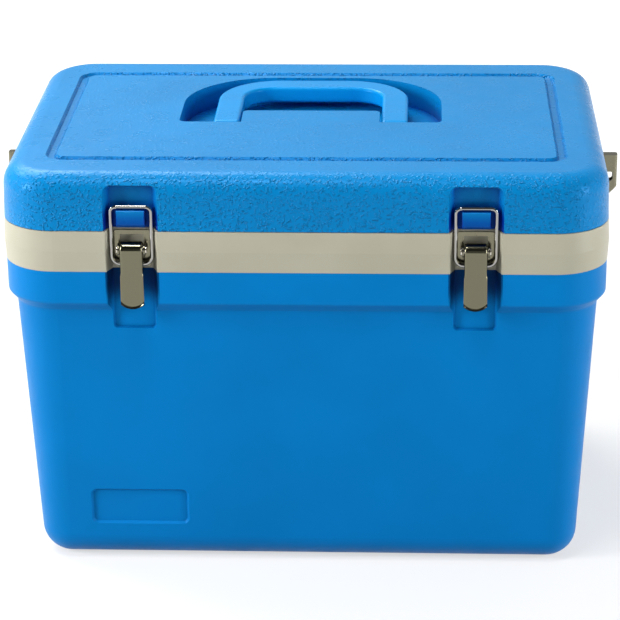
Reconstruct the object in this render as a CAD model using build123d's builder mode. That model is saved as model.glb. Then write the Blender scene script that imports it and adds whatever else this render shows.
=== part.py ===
from build123d import *
import os
from math import asin, atan2, cos, degrees, hypot, radians, sin

# Insulated vaccine carrier.  Millimetres, +Z up, +X to the right seen from the front, the front faces -Y.
# Origin: the middle of the base, on the surface that the carrier stands on.

# ---- Overall size ----
WIDTH = 430.0  # across the rim band
DEPTH = 295.0  # front to back across the rim band
HEIGHT = 305.0  # floor to lid top
CORNER = 40.0  # plan corner radius of the rim band

# ---- Heights of the stacked parts ----
LID_HEIGHT = 40.0
BAND_HEIGHT = 30.0
FLANGE_HEIGHT = 24.0  # straight blue flange under the band
SHOULDER_HEIGHT = 7.0  # slope from the flange in to the tub
SEAM_Z = HEIGHT - LID_HEIGHT
BAND_Z = SEAM_Z - BAND_HEIGHT
FLANGE_Z = BAND_Z - FLANGE_HEIGHT
TUB_Z = FLANGE_Z - SHOULDER_HEIGHT
SEAM_GAP = 0.5  # lid skirt to rim, closed by the gasket

# ---- Skins and insulation ----
SKIN = 3.0  # moulded blue skins
LINER_SKIN = 2.5  # moulded ivory skins
WALL_AT_RIM = 33.0  # skins and foam together, at the rim
FLOOR_THICKNESS = 30.0

# ---- Tub ----
BAND_CREST = 0.8  # the band swells by this at mid height
FLANGE_IN = 1.0  # flange face behind the band crest
SHOULDER_IN = 6.0  # tub face behind the flange face
TUB_TAPER = 10.5  # tub side leans in by this down to the base
BASE_EDGE = 21.0  # rounding of the base edge
SHOULDER_EDGE = 3.0

# ---- Name plate place, bare ----
PLATE_X = -122.5
PLATE_Z = 45.0
PLATE_WIDTH = 72.0
PLATE_HEIGHT = 29.0
PLATE_DEPTH = 1.8
PLATE_CORNER = 5.0
PLATE_SLOPE = 1.6  # width of the sloping edge

# ---- Lid ----
LID_TOP_SKIN = 5.0
LID_TAPER = 1.2
LID_EDGE = 15.0  # rounding of the top edge
CHANNEL_MARGIN_X = 30.0  # lid side to the channel
CHANNEL_MARGIN_Y = 39.0  # lid front to the channel
CHANNEL_WIDTH = 8.0
CHANNEL_DEPTH = 2.2
CHANNEL_SLOPE = 2.0
CHANNEL_CORNER = 14.0

# ---- Lid liner, plug and gasket ----
LINER_FLANGE = 4.0
PLUG_DEPTH = 18.0
PLUG_CLEARANCE = 2.5
PLUG_TAPER = 2.5
GASKET_WIDTH = 7.0
GASKET_HEIGHT = 3.4
GASKET_INSET = 5.0  # from the plug to the gasket
GASKET_CLEARANCE = 0.1  # gasket lip to the rim, lid closed

# ---- Basin ----
BASIN_TAPER = 6.0
BASIN_CORNER = 24.0
BASIN_EDGE = 12.0

# ---- Handle and its recess ----
HANDLE_WIDTH = 144.0
LEG_WIDTH = 19.5
GRIP_WIDTH = 21.0
HANDLE_THICKNESS = 12.0
HANDLE_REACH = 102.0  # pivot to the back of the grip
HANDLE_OUTER = 46.0  # outer corner radius
HANDLE_INNER = 22.0
HANDLE_ROUNDING = 2.5
HANDLE_SINK = 0.5  # handle top under the lid top
PIVOT_Y = -11.0
RECESS_WIDTH = 194.0
RECESS_DEPTH = 18.5
RECESS_MARGIN = 1.4  # leg end to the front wall
RECESS_BACK_GAP = 4.0  # grip to the back wall
RECESS_CORNER = 66.0
RECESS_FRONT_CORNER = 5.0
TONGUE_LENGTH = 28.0
TONGUE_GAP = 1.5  # tongue to each leg
TONGUE_CORNER = 4.0
HANDLE_PIN_R = 3.0
PIN_RUNNING = 0.08  # radial clearance of every turning pin
PIN_IN_TONGUE = 14.0
PIN_IN_LEG = 12.0
PIN_END_GAP = 0.5
PIVOT_BOSS_R = 6.0
REST_PAD = 12.0  # square pads that carry the folded handle
REST_GAP = 0.3

# ---- Latches ----
LATCH_X = 120.2  # each side of the middle
LATCH_RECESS = 10.0  # recess floor behind the band crest
RECESS_SPLAY = 0.42  # side wall slope of the recesses
BODY_RECESS_FLOOR = 28.5  # width of the floor in the body
LID_RECESS_FLOOR = 31.0
BODY_RECESS_DROP = 48.5  # below the band
LID_RECESS_RISE = 30.5  # above the seam
RECESS_FLOOR_CORNER = 2.0
CATCH_WIDTH = 19.8
CATCH_BOTTOM = 2.3  # above the seam
CATCH_HEIGHT = 12.8
CATCH_REACH = 8.6  # from the recess floor
CATCH_UNDERCUT = 0.8  # top slopes down to the floor
CATCH_CHAMFER = 1.2
LATCH_SHEET = 1.2
BASE_PLATE_WIDTH = 26.0
BASE_PLATE_HEIGHT = 26.5
BASE_PLATE_TOP = 1.5  # below the seam
BASE_PLATE_CORNER = 2.0
WINDOW_HEIGHT = 17.0
WINDOW_SILL = 6.5  # plate bottom to window
EAR_HEIGHT = 8.0
EAR_GAP = 0.5
LEVER_WIDTH = 16.0
LEVER_TIP_WIDTH = 16.8
LEVER_ROLL = 6.0  # radius of the rolled top, about the pivot
LEVER_LENGTH = 42.8  # pivot to the curled tip
LEVER_ROLL_TAIL = 40.0  # the roll runs past its top to the back by this angle
LEVER_TIP_CORNER = 6.5
LEVER_BACK = 3.2  # lever side cheeks behind the pivot
LEVER_CHEEK_DROP = 15.5
LIP_RADIUS = 5.0
LIP_ANGLE = 55.0
LATCH_PIVOT_OUT = 6.3  # pivot in front of the recess floor
LATCH_PIVOT_DROP = 14.2  # below the seam
LATCH_PIN_R = 1.6
LATCH_HEAD_R = 2.6
LATCH_HEAD = 0.9
BAIL_WIRE_R = 1.5
BAIL_PIVOT_DROP = 10.8  # below the lever pivot
BAIL_PIVOT_BACK = 1.2  # behind the lever pivot, over the dead centre
BAIL_WIDTH = 31.5
BAIL_CORNER = 4.0
BAIL_FOOT_CORNER = 6.0
BAIL_GAP = 0.4  # bail bar above the catch
BAIL_FOOT_PAST = 0.4  # foot past the inside of the lever cheek

# ---- Rivets ----
RIVET_R = 1.6
RIVET_HEAD_R = 3.0
RIVET_HEAD = 1.2
LATCH_RIVET_HEAD_R = 2.2
LATCH_RIVET_PITCH = 9.0
LATCH_RIVET_UP = 3.0  # above the plate's bottom edge

# ---- Hinges ----
HINGE_X = 121.0
HINGE_SEAT = 2.5
SEAT_MARGIN = 1.5
HINGE_WIDTH = 38.0
LEAF_HEIGHT = 24.0
LEAF_SHEET = 1.5
KNUCKLE_R = 3.2
KNUCKLE_STANDOFF = 0.4
KNUCKLE_GAP = 0.4
HINGE_PIN_R = 1.6
HINGE_PIN_HEAD = 1.0
HINGE_RIVET_PITCH = 22.0
LEAF_CORNER = 3.0

# ---- Strap lugs ----
LUG_SEAT = 1.5
LUG_SHEET = 1.5
LUG_PLATE_WIDTH = 38.0
LUG_PLATE_HEIGHT = 24.0
LUG_LOOP_WIDTH = 8.0
LUG_REACH = 14.2
LUG_BOTTOM = 3.5  # slope starts above the band's lower edge
LUG_SLOPE = 12.8
LUG_TOP = 10.4  # above the seam
LUG_HOLE_WIDTH = 5.6
LUG_HOLE_HEIGHT = 7.2
LUG_HOLE_UP = 20.4  # hole bottom above the band's lower edge
LUG_HOLE_CORNER = 2.0
LUG_PLATE_CORNER = 4.0
LUG_EDGE = 2.0
LUG_LID_GAP = 1.6
LUG_HOLE_INSET = 1.6  # hole to the inside of the web
LUG_RIVET_PITCH = 29.0

# ---- Ice packs ----
PACK_WIDTH = 120.0
PACK_HEADROOM = 19.3  # cap to the plug of the closed lid
PACK_THICKNESS = 34.0
PACK_CORNER = 14.0
PACK_EDGE = 6.0
PACK_PANEL = 1.5  # depth of the sunk panel on each face
PACK_PANEL_MARGIN = 16.0
PACK_OFF_WALL = 5.0
PACK_STAND = 0.2
CAP_R = 11.0
CAP_HEIGHT = 8.0
CAP_RIBS = 12
CAP_RIB_R = 1.2
NECK_R = 8.0
NECK_HEIGHT = 5.5
NECK_X = 34.0  # neck off the pack's middle

# ---- Worked-out places ----
HALF_W = WIDTH / 2
HALF_D = DEPTH / 2
LATCH_FLOOR_Y = -HALF_D + LATCH_RECESS
LATCH_PIVOT_Y = LATCH_FLOOR_Y - LATCH_PIVOT_OUT
LATCH_PIVOT_Z = SEAM_Z - LATCH_PIVOT_DROP
BAIL_PIVOT_Y = LATCH_PIVOT_Y + BAIL_PIVOT_BACK
BAIL_PIVOT_Z = LATCH_PIVOT_Z - BAIL_PIVOT_DROP
CATCH_TOP_Z = SEAM_Z + CATCH_BOTTOM + CATCH_HEIGHT
BAIL_BAR_Z = CATCH_TOP_Z + BAIL_GAP + BAIL_WIRE_R
PIVOT_Z = HEIGHT - HANDLE_SINK - HANDLE_THICKNESS / 2
RECESS_FLOOR_Z = HEIGHT - RECESS_DEPTH
RECESS_FRONT_Y = PIVOT_Y - HANDLE_THICKNESS / 2 - RECESS_MARGIN
RECESS_BACK_Y = PIVOT_Y + HANDLE_REACH + RECESS_BACK_GAP
LEG_INNER_X = HANDLE_WIDTH / 2 - LEG_WIDTH
TONGUE_X = LEG_INNER_X - TONGUE_GAP
HINGE_SEAT_Y = HALF_D - HINGE_SEAT
HINGE_AXIS_Y = HINGE_SEAT_Y + KNUCKLE_STANDOFF + KNUCKLE_R
HINGE_AXIS_Z = SEAM_Z + SEAM_GAP / 2
LUG_SEAT_X = HALF_W - LUG_SEAT
SIDES = {"left": -1, "right": 1}

os.makedirs("parts", exist_ok=True)


def stack(half_w, half_d, corner, levels):
    """Solid through insets of one rounded rectangle, each given as (height, inset)."""
    with BuildPart() as solid:
        for (low, low_in), (high, high_in) in zip(levels, levels[1:]):
            with BuildSketch(Plane.XY.offset(low)):
                RectangleRounded(2 * (half_w - low_in), 2 * (half_d - low_in), corner - low_in)
            extrude(amount=high - low, taper=degrees(atan2(high_in - low_in, high - low)))
    return solid.part


def round_level(solid, height, radius):
    """The solid with the edges at one height rounded."""
    edges = solid.edges().filter_by_position(Axis.Z, height - 0.01, height + 0.01)
    return solid.fillet(radius, edges)


def tub_form(inset):
    """Tub, shoulder and flange up to the band, with every face moved in by the inset."""
    flange_in = FLANGE_IN + inset
    tub_in = flange_in + SHOULDER_IN
    base_in = tub_in + TUB_TAPER
    levels = [(inset, base_in), (TUB_Z, tub_in), (FLANGE_Z, flange_in), (BAND_Z, flange_in)]
    return round_level(stack(HALF_W, HALF_D, CORNER, levels), inset, BASE_EDGE - inset)


def band_form(inset, top):
    """Rim band from its lower edge to the given height, swollen at mid height."""
    edge_in = inset + BAND_CREST
    middle = BAND_Z + BAND_HEIGHT / 2
    return stack(HALF_W, HALF_D, CORNER, [(BAND_Z, edge_in), (middle, inset), (top, edge_in)])


def lid_form(inset, bottom, top):
    """Lid block between two heights, its sides moved in by the inset."""
    low_in = BAND_CREST + inset
    high_in = low_in + LID_TAPER * (top - bottom) / LID_HEIGHT
    return stack(HALF_W, HALF_D, CORNER, [(bottom, low_in), (top, high_in)])


def basin_form(grow):
    """Inside of the basin up to the rim, with every face moved out by the growth."""
    floor = FLOOR_THICKNESS - grow
    levels = [(floor, WALL_AT_RIM + BASIN_TAPER - grow), (SEAM_Z, WALL_AT_RIM - grow)]
    solid = stack(HALF_W, HALF_D, WALL_AT_RIM + BASIN_CORNER, levels)
    return round_level(solid, floor, BASIN_EDGE + grow)


def plug_form(inset, bottom, top):
    """Plug of the lid liner that drops into the basin."""
    top_in = WALL_AT_RIM + PLUG_CLEARANCE + inset
    return stack(HALF_W, HALF_D, WALL_AT_RIM + BASIN_CORNER, [(bottom, top_in + PLUG_TAPER), (top, top_in)])


def front_recess(x, bottom, top, floor_width, grow):
    """Latch recess: a floor facing the front with splayed side walls, moved out by the growth."""
    floor_y = LATCH_FLOOR_Y + grow
    with BuildPart() as solid:
        with BuildSketch(Plane.XZ.offset(-floor_y)):
            with Locations((x, (bottom + top) / 2)):
                RectangleRounded(floor_width + 2 * grow, top - bottom + 2 * grow, RECESS_FLOOR_CORNER + grow)
        extrude(amount=floor_y + HALF_D + 6, taper=-degrees(atan2(RECESS_SPLAY, 1)))
    return solid.part


def block(x_range, y_range, z_range):
    """Plain block between three pairs of limits."""
    with BuildPart() as solid:
        middle = [(low + high) / 2 for low, high in (x_range, y_range, z_range)]
        with Locations(tuple(middle)):
            Box(x_range[1] - x_range[0], y_range[1] - y_range[0], z_range[1] - z_range[0])
    return solid.part


def rod(start, end, radius):
    """Round rod between two points."""
    start = Vector(*start)
    along = Vector(*end) - start
    with BuildPart() as solid:
        with BuildSketch(Plane(origin=start, z_dir=along)):
            Circle(radius)
        extrude(amount=along.length)
    return solid.part


def rivet_form(shank_r, shank, head_r, head):
    """Rivet on the origin: domed head above, shank below."""
    sphere = (head_r**2 + head**2) / (2 * head)
    half_angle = asin(head_r / sphere) / 2
    crown = (sphere * sin(half_angle), head - sphere + sphere * cos(half_angle))
    with BuildPart() as solid:
        with BuildSketch(Plane.XZ):
            with BuildLine():
                Line((0, 0), (head_r, 0))
                ThreePointArc((head_r, 0), crown, (0, head))
                Line((0, head), (0, 0))
            make_face()
        revolve(axis=Axis.Z)
        with Locations((0, 0, -shank / 2)):
            Cylinder(shank_r, shank)
    return solid.part


def facing(point, out):
    """Plane on a surface point, its normal pointing out of the surface."""
    return Plane(origin=point, z_dir=out)


# ---- Cut-outs shared by neighbouring parts ----
body_recesses = {}
body_recess_backs = {}
lid_recesses = {}
lid_recess_backs = {}
for side, sign in SIDES.items():
    centre = sign * LATCH_X
    body_low = BAND_Z - BODY_RECESS_DROP + RECESS_SPLAY * LATCH_RECESS
    body_high = SEAM_Z + LATCH_RECESS
    body_recesses[side] = front_recess(centre, body_low, body_high, BODY_RECESS_FLOOR, 0)
    body_recess_backs[side] = front_recess(centre, body_low, body_high, BODY_RECESS_FLOOR, SKIN)
    lid_low = SEAM_Z - LATCH_RECESS
    lid_high = SEAM_Z + LID_RECESS_RISE
    lid_recesses[side] = front_recess(centre, lid_low, lid_high, LID_RECESS_FLOOR, 0)
    lid_recess_backs[side] = front_recess(centre, lid_low, lid_high, LID_RECESS_FLOOR, SKIN)


def hinge_seat(sign, z_range, grow):
    """Shallow seat for a hinge leaf in the back wall."""
    half = HINGE_WIDTH / 2 + SEAT_MARGIN + grow
    x_range = (sign * HINGE_X - half, sign * HINGE_X + half)
    return block(x_range, (HINGE_SEAT_Y - grow, HALF_D + 10), z_range)


def lug_seat(sign, grow):
    """Shallow seat for a strap lug in the side of the band."""
    half = LUG_PLATE_WIDTH / 2 + grow
    inner = sign * (LUG_SEAT_X - grow)
    outer = sign * (HALF_W + 10)
    x_range = (min(inner, outer), max(inner, outer))
    low = BAND_Z + (BAND_HEIGHT - LUG_PLATE_HEIGHT) / 2 - grow
    return block(x_range, (-half, half), (low, low + LUG_PLATE_HEIGHT + 2 * grow))


BODY_SEAT_RANGE = (BAND_Z + 1.5, SEAM_Z + 10)
LID_SEAT_RANGE = (SEAM_Z - 10, SEAM_Z + LEAF_HEIGHT + 3.5)
LUG_MIDDLE_Z = BAND_Z + BAND_HEIGHT / 2
LATCH_RIVET_Z = SEAM_Z - BASE_PLATE_TOP - BASE_PLATE_HEIGHT + LATCH_RIVET_UP
HINGE_RIVET_UP = LEAF_HEIGHT * 0.6


def latch_rivet_points(sign):
    """Two rivets low on the latch base, behind the lever."""
    x_places = [sign * LATCH_X + half * LATCH_RIVET_PITCH / 2 for half in (-1, 1)]
    return [(x, LATCH_FLOOR_Y - LATCH_SHEET, LATCH_RIVET_Z) for x in x_places]


def hinge_rivet_points(sign, up):
    """Two rivets of one hinge leaf; up is +1 on the lid and -1 on the body."""
    z = HINGE_AXIS_Z + up * HINGE_RIVET_UP
    x_places = [sign * HINGE_X + half * HINGE_RIVET_PITCH / 2 for half in (-1, 1)]
    return [(x, HINGE_SEAT_Y + LEAF_SHEET, z) for x in x_places]


def lug_rivet_points(sign):
    """Two rivets of one strap lug, in front of and behind its loop."""
    y_places = [half * LUG_RIVET_PITCH / 2 for half in (-1, 1)]
    return [(sign * (LUG_SEAT_X + LUG_SHEET), y, LUG_MIDDLE_Z) for y in y_places]


def shank_holes(points, into, sheet, wall):
    """Holes for the rivets' shanks, from the sheet's face to the back of the wall."""
    step = Vector(*into) * (sheet + wall)
    return [rod(point, tuple(Vector(*point) + step), RIVET_R) for point in points]


# ---- Outer shell of the body ----
tub_outside = tub_form(0)
tub_outside = round_level(tub_outside, TUB_Z, SHOULDER_EDGE)
tub_outside = round_level(tub_outside, FLANGE_Z, SHOULDER_EDGE)
tub_inside = tub_form(SKIN)
front_lean = degrees(atan2(TUB_TAPER, TUB_Z))
plate_y = -HALF_D + FLANGE_IN + SHOULDER_IN + TUB_TAPER * (1 - PLATE_Z / TUB_Z)
plate_plane = Plane(origin=(PLATE_X, plate_y, PLATE_Z), x_dir=(1, 0, 0), z_dir=(0, -1, 0))
plate_plane = plate_plane.rotated((front_lean, 0, 0))

with BuildPart() as tub_cavity:
    add(tub_inside)
    for side in SIDES:
        add(body_recess_backs[side], mode=Mode.SUBTRACT)

with BuildPart() as outer_shell:
    add(tub_outside)
    add(tub_cavity.part, mode=Mode.SUBTRACT)
    for side in SIDES:
        add(body_recesses[side], mode=Mode.SUBTRACT)
    with BuildSketch(plate_plane.offset(-PLATE_DEPTH)):
        floor_size = (PLATE_WIDTH - 2 * PLATE_SLOPE, PLATE_HEIGHT - 2 * PLATE_SLOPE)
        RectangleRounded(*floor_size, PLATE_CORNER - PLATE_SLOPE)
    extrude(amount=2 * PLATE_DEPTH, taper=-degrees(atan2(PLATE_SLOPE, PLATE_DEPTH)), mode=Mode.SUBTRACT)
outer_shell.part.label = "outer_shell"
export_step(outer_shell.part, "parts/outer_shell.step")

# ---- Inner liner: basin and rim band in one moulding ----
band_outside = band_form(0, SEAM_Z)
basin_outside = basin_form(LINER_SKIN)
basin_inside = basin_form(0)

with BuildPart() as band_cavity:
    add(band_form(SKIN, SEAM_Z - SKIN))
    for side, sign in SIDES.items():
        add(body_recess_backs[side], mode=Mode.SUBTRACT)
        add(hinge_seat(sign, BODY_SEAT_RANGE, SKIN), mode=Mode.SUBTRACT)
        add(lug_seat(sign, SKIN), mode=Mode.SUBTRACT)

with BuildPart() as inner_liner:
    add(band_outside)
    add(band_cavity.part, mode=Mode.SUBTRACT)
    add(basin_outside)
    add(basin_inside, mode=Mode.SUBTRACT)
    for side, sign in SIDES.items():
        add(body_recesses[side], mode=Mode.SUBTRACT)
        add(hinge_seat(sign, BODY_SEAT_RANGE, 0), mode=Mode.SUBTRACT)
        add(lug_seat(sign, 0), mode=Mode.SUBTRACT)
        for hole in shank_holes(latch_rivet_points(sign), (0, 1, 0), LATCH_SHEET, SKIN):
            add(hole, mode=Mode.SUBTRACT)
        for hole in shank_holes(hinge_rivet_points(sign, -1), (0, -1, 0), LEAF_SHEET, SKIN):
            add(hole, mode=Mode.SUBTRACT)
        for hole in shank_holes(lug_rivet_points(sign), (-sign, 0, 0), LUG_SHEET, SKIN):
            add(hole, mode=Mode.SUBTRACT)
inner_liner.part.label = "inner_liner"
export_step(inner_liner.part, "parts/inner_liner.step")

# ---- Body foam: fills everything between shell and liner ----
with BuildPart() as body_foam:
    add(tub_cavity.part)
    add(band_cavity.part)
    add(basin_outside, mode=Mode.SUBTRACT)
body_foam.part.label = "body_foam"
export_step(body_foam.part, "parts/body_foam.step")

# ---- Lid shell ----
LID_Z = SEAM_Z + SEAM_GAP
lid_outside = round_level(lid_form(0, LID_Z, HEIGHT), HEIGHT, LID_EDGE)
lid_inside = round_level(
    lid_form(SKIN, LID_Z, HEIGHT - LID_TOP_SKIN), HEIGHT - LID_TOP_SKIN, LID_EDGE - SKIN
)


def recess_outline(grow):
    """Plan of the handle recess: straight front, wide round back corners, a tongue left standing in front."""
    half = RECESS_WIDTH / 2 + grow
    front = RECESS_FRONT_Y - grow
    back = RECESS_BACK_Y + grow
    big = RECESS_CORNER + grow
    small = RECESS_FRONT_CORNER + grow
    tongue = TONGUE_X - grow
    tongue_back = RECESS_FRONT_Y + TONGUE_LENGTH - grow
    with BuildSketch() as outline:
        with BuildLine():
            FilletPolyline((0, front), (half, front), (half, back), (0, back), radius=[small, big])
            Line((0, back), (0, front))
        make_face()
        mirror(about=Plane.YZ)
        with BuildLine():
            Polyline(
                (-tongue, front - 1),
                (tongue, front - 1),
                (tongue, tongue_back),
                (-tongue, tongue_back),
                close=True,
            )
        make_face(mode=Mode.SUBTRACT)
        corners = outline.vertices().filter_by_position(Axis.Y, tongue_back - 0.01, tongue_back + 0.01)
        fillet(corners, TONGUE_CORNER)
    return outline.sketch


with BuildPart() as handle_recess:
    with BuildSketch(Plane.XY.offset(RECESS_FLOOR_Z)):
        add(recess_outline(0))
    extrude(amount=RECESS_DEPTH + 1)

with BuildPart() as handle_recess_back:
    with BuildSketch(Plane.XY.offset(RECESS_FLOOR_Z - SKIN)):
        add(recess_outline(SKIN))
    extrude(amount=RECESS_DEPTH + SKIN + 1)
    for sign in SIDES.values():
        boss_inner = (sign * (TONGUE_X - PIN_IN_TONGUE - SKIN), PIVOT_Y, PIVOT_Z)
        boss_outer = (sign * TONGUE_X, PIVOT_Y, PIVOT_Z)
        add(rod(boss_inner, boss_outer, PIVOT_BOSS_R))

with BuildPart() as lid_cavity:
    add(lid_inside)
    add(handle_recess_back.part, mode=Mode.SUBTRACT)
    for side, sign in SIDES.items():
        add(lid_recess_backs[side], mode=Mode.SUBTRACT)
        add(hinge_seat(sign, LID_SEAT_RANGE, SKIN), mode=Mode.SUBTRACT)

channel_w = HALF_W - CHANNEL_MARGIN_X
channel_d = HALF_D - CHANNEL_MARGIN_Y
channel_low = HEIGHT - CHANNEL_DEPTH
channel_high = HEIGHT + CHANNEL_DEPTH
channel_outer = stack(
    channel_w, channel_d, CHANNEL_CORNER, [(channel_low, CHANNEL_SLOPE), (channel_high, -CHANNEL_SLOPE)]
)
channel_inner = stack(
    channel_w,
    channel_d,
    CHANNEL_CORNER,
    [(channel_low, CHANNEL_WIDTH - CHANNEL_SLOPE), (channel_high, CHANNEL_WIDTH + CHANNEL_SLOPE)],
)

with BuildPart() as catch:
    catch_low = SEAM_Z + CATCH_BOTTOM
    catch_top = CATCH_TOP_Z
    with BuildSketch(Plane.YZ) as catch_profile:
        with BuildLine():
            Polyline(
                (LATCH_FLOOR_Y + SKIN, catch_low),
                (LATCH_FLOOR_Y - CATCH_REACH + CATCH_CHAMFER * 2, catch_low),
                (LATCH_FLOOR_Y - CATCH_REACH, catch_low + CATCH_CHAMFER * 2),
                (LATCH_FLOOR_Y - CATCH_REACH, catch_top),
                (LATCH_FLOOR_Y + SKIN, catch_top - CATCH_UNDERCUT),
                close=True,
            )
        make_face()
    extrude(amount=CATCH_WIDTH / 2, both=True)
    chamfer(catch.edges().group_by(Axis.Y)[0], CATCH_CHAMFER * 0.5)

with BuildPart() as lid_shell:
    add(lid_outside)
    add(lid_cavity.part, mode=Mode.SUBTRACT)
    add(handle_recess.part, mode=Mode.SUBTRACT)
    add(channel_outer - channel_inner, mode=Mode.SUBTRACT)
    for side, sign in SIDES.items():
        add(lid_recesses[side], mode=Mode.SUBTRACT)
        add(hinge_seat(sign, LID_SEAT_RANGE, 0), mode=Mode.SUBTRACT)
        add(Pos(sign * LATCH_X, 0, 0) * catch.part)
        with Locations((sign * (LEG_INNER_X + LEG_WIDTH / 2), PIVOT_Y + HANDLE_REACH / 2, RECESS_FLOOR_Z)):
            pad_height = RECESS_DEPTH - HANDLE_SINK - HANDLE_THICKNESS - REST_GAP
            Box(REST_PAD, REST_PAD, pad_height, align=(Align.CENTER, Align.CENTER, Align.MIN))
        pin_inner = (sign * (TONGUE_X - PIN_IN_TONGUE), PIVOT_Y, PIVOT_Z)
        pin_outer = (sign * (TONGUE_X + 1), PIVOT_Y, PIVOT_Z)
        add(rod(pin_inner, pin_outer, HANDLE_PIN_R), mode=Mode.SUBTRACT)
        for hole in shank_holes(hinge_rivet_points(sign, 1), (0, -1, 0), LEAF_SHEET, SKIN):
            add(hole, mode=Mode.SUBTRACT)
lid_shell.part.label = "lid_shell"
export_step(lid_shell.part, "parts/lid_shell.step")

# ---- Lid liner with its plug and gasket groove ----
liner_top = LID_Z + LINER_FLANGE
gasket_low = SEAM_Z + GASKET_CLEARANCE
gasket_top = gasket_low + GASKET_HEIGHT


def gasket_ring(low, high):
    """Square-section ring round the plug between two heights."""
    inner_in = WALL_AT_RIM + PLUG_CLEARANCE - GASKET_INSET
    outer_in = inner_in - GASKET_WIDTH
    outer = stack(HALF_W, HALF_D, WALL_AT_RIM + BASIN_CORNER, [(low, outer_in), (high, outer_in)])
    inner = stack(HALF_W, HALF_D, WALL_AT_RIM + BASIN_CORNER, [(low, inner_in), (high, inner_in)])
    return outer - inner


with BuildPart() as plug_cavity:
    add(plug_form(LINER_SKIN, LID_Z - PLUG_DEPTH + LINER_SKIN, liner_top))

with BuildPart() as lid_liner:
    add(lid_form(SKIN, LID_Z, liner_top) & lid_cavity.part)
    add(plug_form(0, LID_Z - PLUG_DEPTH, liner_top))
    add(plug_cavity.part, mode=Mode.SUBTRACT)
    add(gasket_ring(LID_Z - 1, gasket_top), mode=Mode.SUBTRACT)
lid_liner.part.label = "lid_liner"
export_step(lid_liner.part, "parts/lid_liner.step")

with BuildPart() as lid_gasket:
    add(gasket_ring(gasket_low, gasket_top))
lid_gasket.part.label = "lid_gasket"
export_step(lid_gasket.part, "parts/lid_gasket.step")

# ---- Lid foam: fills the shell above the liner and the plug ----
with BuildPart() as lid_foam:
    add(lid_cavity.part)
    with Locations((0, 0, LID_Z)):
        Box(WIDTH, DEPTH, LINER_FLANGE, align=(Align.CENTER, Align.CENTER, Align.MIN), mode=Mode.SUBTRACT)
    add(plug_cavity.part)
lid_foam.part.label = "lid_foam"
export_step(lid_foam.part, "parts/lid_foam.step")

# ---- Carrying handle and its two pins ----
grip_back = PIVOT_Y + HANDLE_REACH
handle_bottom = PIVOT_Z - HANDLE_THICKNESS / 2
leg_middle_x = LEG_INNER_X + LEG_WIDTH / 2

with BuildPart() as carry_handle:
    with BuildSketch(Plane.XY.offset(handle_bottom)) as handle_plan:
        with BuildLine():
            FilletPolyline(
                (0, grip_back),
                (HANDLE_WIDTH / 2, grip_back),
                (HANDLE_WIDTH / 2, PIVOT_Y),
                radius=HANDLE_OUTER,
            )
            Line((HANDLE_WIDTH / 2, PIVOT_Y), (LEG_INNER_X, PIVOT_Y))
            FilletPolyline(
                (LEG_INNER_X, PIVOT_Y),
                (LEG_INNER_X, grip_back - GRIP_WIDTH),
                (0, grip_back - GRIP_WIDTH),
                radius=HANDLE_INNER,
            )
            Line((0, grip_back - GRIP_WIDTH), (0, grip_back))
        make_face()
        mirror(about=Plane.YZ)
    extrude(amount=HANDLE_THICKNESS)
    for sign in SIDES.values():
        leg_inner = (sign * LEG_INNER_X, PIVOT_Y, PIVOT_Z)
        leg_outer = (sign * HANDLE_WIDTH / 2, PIVOT_Y, PIVOT_Z)
        add(rod(leg_inner, leg_outer, HANDLE_THICKNESS / 2))
    along_x = carry_handle.edges().filter_by(Axis.X)
    cross_edges = along_x.filter_by(lambda edge: edge.length < LEG_WIDTH + 0.01)
    fillet(carry_handle.edges() - cross_edges, HANDLE_ROUNDING)
    for sign in SIDES.values():
        bore_start = (sign * (LEG_INNER_X - 1), PIVOT_Y, PIVOT_Z)
        bore_end = (sign * (LEG_INNER_X + PIN_IN_LEG + PIN_END_GAP), PIVOT_Y, PIVOT_Z)
        add(rod(bore_start, bore_end, HANDLE_PIN_R + PIN_RUNNING), mode=Mode.SUBTRACT)
carry_handle.part.label = "carry_handle"
export_step(carry_handle.part, "parts/carry_handle.step")

with BuildPart() as handle_pins:
    for sign in SIDES.values():
        inner = (sign * (TONGUE_X - PIN_IN_TONGUE), PIVOT_Y, PIVOT_Z)
        outer = (sign * (LEG_INNER_X + PIN_IN_LEG), PIVOT_Y, PIVOT_Z)
        add(rod(inner, outer, HANDLE_PIN_R))
handle_pins.part.label = "handle_pins"
export_step(handle_pins.part, "parts/handle_pins.step")


# ---- Latches ----
def pivot_rod(half_length, radius, y, z):
    """Rod across a latch, centred on it."""
    return rod((-half_length, y, z), (half_length, y, z), radius)


ear_inner = LEVER_WIDTH / 2 + EAR_GAP
ear_outer = ear_inner + LATCH_SHEET
plate_low = SEAM_Z - BASE_PLATE_TOP - BASE_PLATE_HEIGHT
bail_half = BAIL_WIDTH / 2 - BAIL_WIRE_R

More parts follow.
